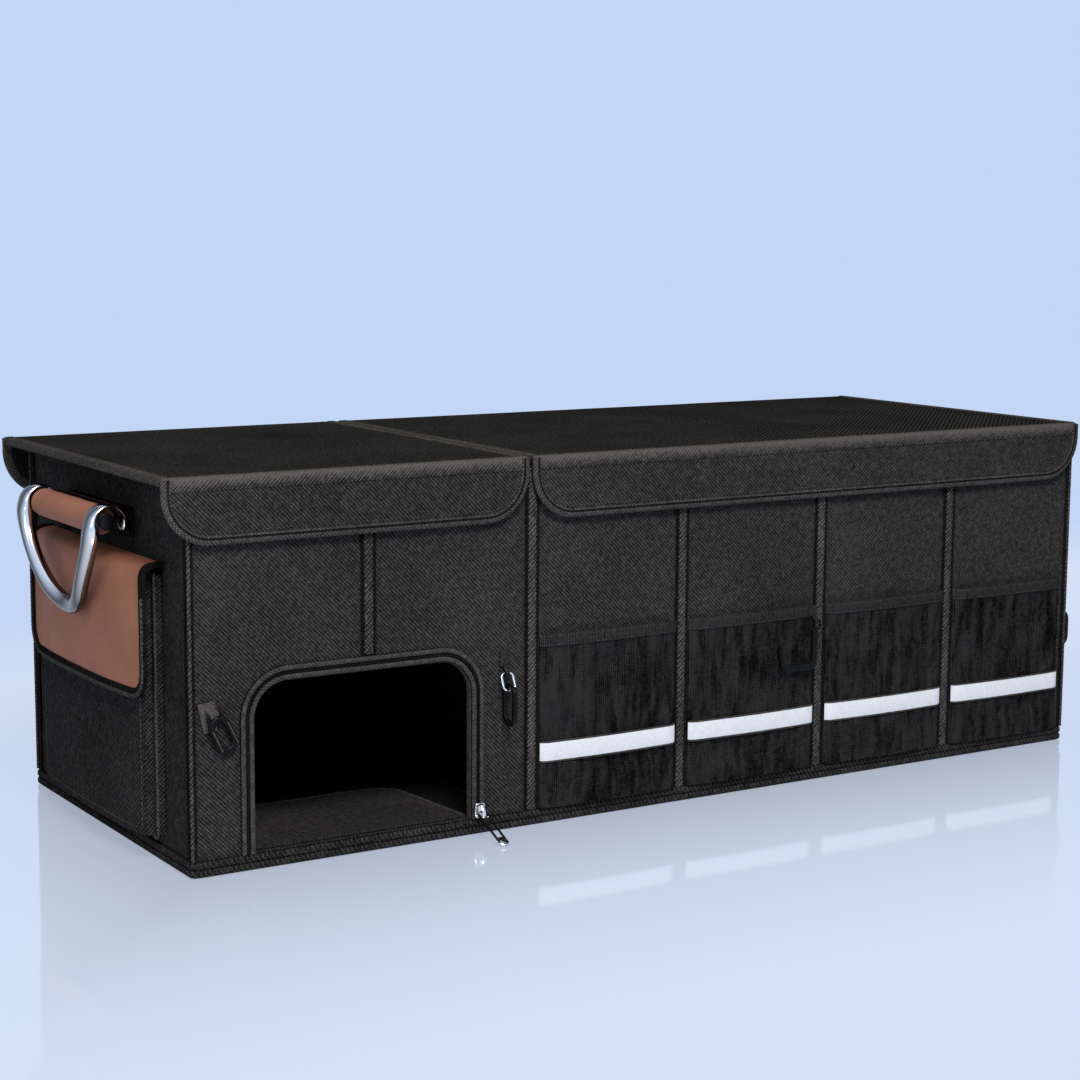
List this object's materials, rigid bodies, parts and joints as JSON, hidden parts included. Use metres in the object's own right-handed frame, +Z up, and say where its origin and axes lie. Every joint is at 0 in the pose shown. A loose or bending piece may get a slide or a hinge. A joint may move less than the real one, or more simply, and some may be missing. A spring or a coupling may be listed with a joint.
{
  "type": "car organizer",
  "caption": "Long fabric car boot organizer with two hinged lids, zip doorway, mesh pockets, end pockets with leather flaps and metal carrying bails.",
  "frame": {"origin": "bottom centre of the box, on the underside of the base panel", "axes": "+X along the length towards the end away from the doorway, -Y towards the front, +Z up"},
  "size_m": [1.0552, 0.4192, 0.3281],
  "materials": {
    "fabric": "coarse twill oxford cloth, matt",
    "edge_tape": "ribbed binding tape with stitches",
    "lining": "plain black lining over board",
    "mesh": "fine stretch net",
    "reflective": "pale reflective tape, satin",
    "leather": "smooth brown leather, fine grain",
    "metal": "polished",
    "plastic": "black moulded, semi gloss"
  },
  "bodies": {
    "box": {"base_panel": "fabric", "left_base_board": "lining", "middle_base_board": "lining", "right_base_board": "lining", "front_wall": "fabric", "rear_wall": "fabric", "left_end_wall": "fabric", "right_end_wall": "fabric", "left_divider": "lining", "right_divider": "lining", "bottom_binding": "edge_tape", "front_left_corner_binding": "edge_tape", "rear_left_corner_binding": "edge_tape", "front_right_corner_binding": "edge_tape", "rear_right_corner_binding": "edge_tape", "front_seam_1": "edge_tape", "front_seam_2": "edge_tape", "front_seam_3": "edge_tape", "front_seam_4": "edge_tape", "front_seam_5": "edge_tape", "mesh_pocket_1": "mesh", "mesh_pocket_2": "mesh", "mesh_pocket_3": "mesh", "mesh_pocket_4": "mesh", "reflective_strip_1": "reflective", "reflective_strip_2": "reflective", "reflective_strip_3": "reflective", "reflective_strip_4": "reflective", "zip_band": "edge_tape", "left_rear_flap": "fabric", "right_rear_flap": "fabric", "left_end_pocket": "fabric", "left_leather_flap": "leather", "left_flap_binding": "edge_tape", "left_leather_grip": "leather", "left_grip_rod": "metal", "right_end_pocket": "fabric", "right_leather_flap": "leather", "right_flap_binding": "edge_tape", "right_leather_grip": "leather", "right_grip_rod": "metal", "corner_clip_tab": "edge_tape", "door_clip_tab": "edge_tape", "end_clip_tab": "edge_tape", "panel_clip_tab": "edge_tape"},
    "lid_left": {"left_lid": "fabric"},
    "lid_right": {"right_lid": "fabric"},
    "flap_left": {"left_front_flap": "fabric"},
    "flap_right": {"right_front_flap": "fabric"},
    "door": {"door_panel": "fabric"},
    "slider": {"zip_slider": "metal"},
    "puller": {"zip_puller": "metal"},
    "bail_left": {"left_handle_bail": "metal"},
    "bail_right": {"right_handle_bail": "metal"},
    "corner_hook": {"corner_clip_hook": "plastic"},
    "door_ring": {"door_clip_ring": "metal"},
    "door_hook": {"door_clip_hook": "plastic"},
    "end_ring": {"end_clip_ring": "metal"},
    "end_hook": {"end_clip_hook": "plastic"},
    "panel_hook": {"panel_clip_hook": "plastic"}
  },
  "joints": [
    {"name": "left_lid_hinge", "type": "hinge", "parent": "box", "child": "lid_left", "pos_m": [-0.336, 0.188, 0.328], "axis": [-1, 0, 0], "range_deg": [0, 110]},
    {"name": "right_lid_hinge", "type": "hinge", "parent": "box", "child": "lid_right", "pos_m": [0.1605, 0.188, 0.328], "axis": [-1, 0, 0], "range_deg": [0, 110]},
    {"name": "left_flap_hinge", "type": "hinge", "parent": "lid_left", "child": "flap_left", "pos_m": [-0.336, -0.188, 0.328], "axis": [-1, 0, 0], "range_deg": [0, 90]},
    {"name": "right_flap_hinge", "type": "hinge", "parent": "lid_right", "child": "flap_right", "pos_m": [0.1605, -0.188, 0.328], "axis": [-1, 0, 0], "range_deg": [0, 90]},
    {"name": "door_hinge", "type": "hinge", "parent": "box", "child": "door", "pos_m": [-0.3235, -0.175, 0.0137], "axis": [1, 0, 0], "range_deg": [0, 92.08]},
    {"name": "zip_slide", "type": "slide", "parent": "box", "child": "slider", "axis": [0, 0, 1], "range_m": [0, 0.09]},
    {"name": "puller_hinge", "type": "hinge", "parent": "slider", "child": "puller", "pos_m": [-0.215, -0.1908, 0.019], "axis": [-1, 0, 0], "range_deg": [-60, 100]},
    {"name": "left_bail_hinge", "type": "hinge", "parent": "box", "child": "bail_left", "pos_m": [-0.509, 0, 0.281], "axis": [0, 1, 0], "range_deg": [0, 150]},
    {"name": "right_bail_hinge", "type": "hinge", "parent": "box", "child": "bail_right", "pos_m": [0.509, 0, 0.281], "axis": [0, -1, 0], "range_deg": [0, 150]},
    {"name": "corner_hook_hinge", "type": "hinge", "parent": "box", "child": "corner_hook", "pos_m": [-0.463, -0.1848, 0.135], "axis": [-0.9004, 0, -0.435], "range_deg": [0, 100]},
    {"name": "door_ring_hinge", "type": "hinge", "parent": "box", "child": "door_ring", "pos_m": [-0.188, -0.1848, 0.14], "axis": [-1, 0, 0], "range_deg": [0, 100]},
    {"name": "door_hook_hinge", "type": "hinge", "parent": "door_ring", "child": "door_hook", "pos_m": [-0.188, -0.1907, 0.12621], "axis": [-1, 0, 0], "range_deg": [0, 80]},
    {"name": "end_ring_hinge", "type": "hinge", "parent": "box", "child": "end_ring", "pos_m": [0.4848, -0.166, 0.14], "axis": [0, -1, 0], "range_deg": [0, 100]},
    {"name": "end_hook_hinge", "type": "hinge", "parent": "end_ring", "child": "end_hook", "pos_m": [0.4907, -0.166, 0.12621], "axis": [0, -1, 0], "range_deg": [0, 80]},
    {"name": "panel_hook_hinge", "type": "hinge", "parent": "box", "child": "panel_hook", "pos_m": [0.1465, -0.19173, 0.156], "axis": [-1, 0, 0], "range_deg": [0, 100]}
  ]
}
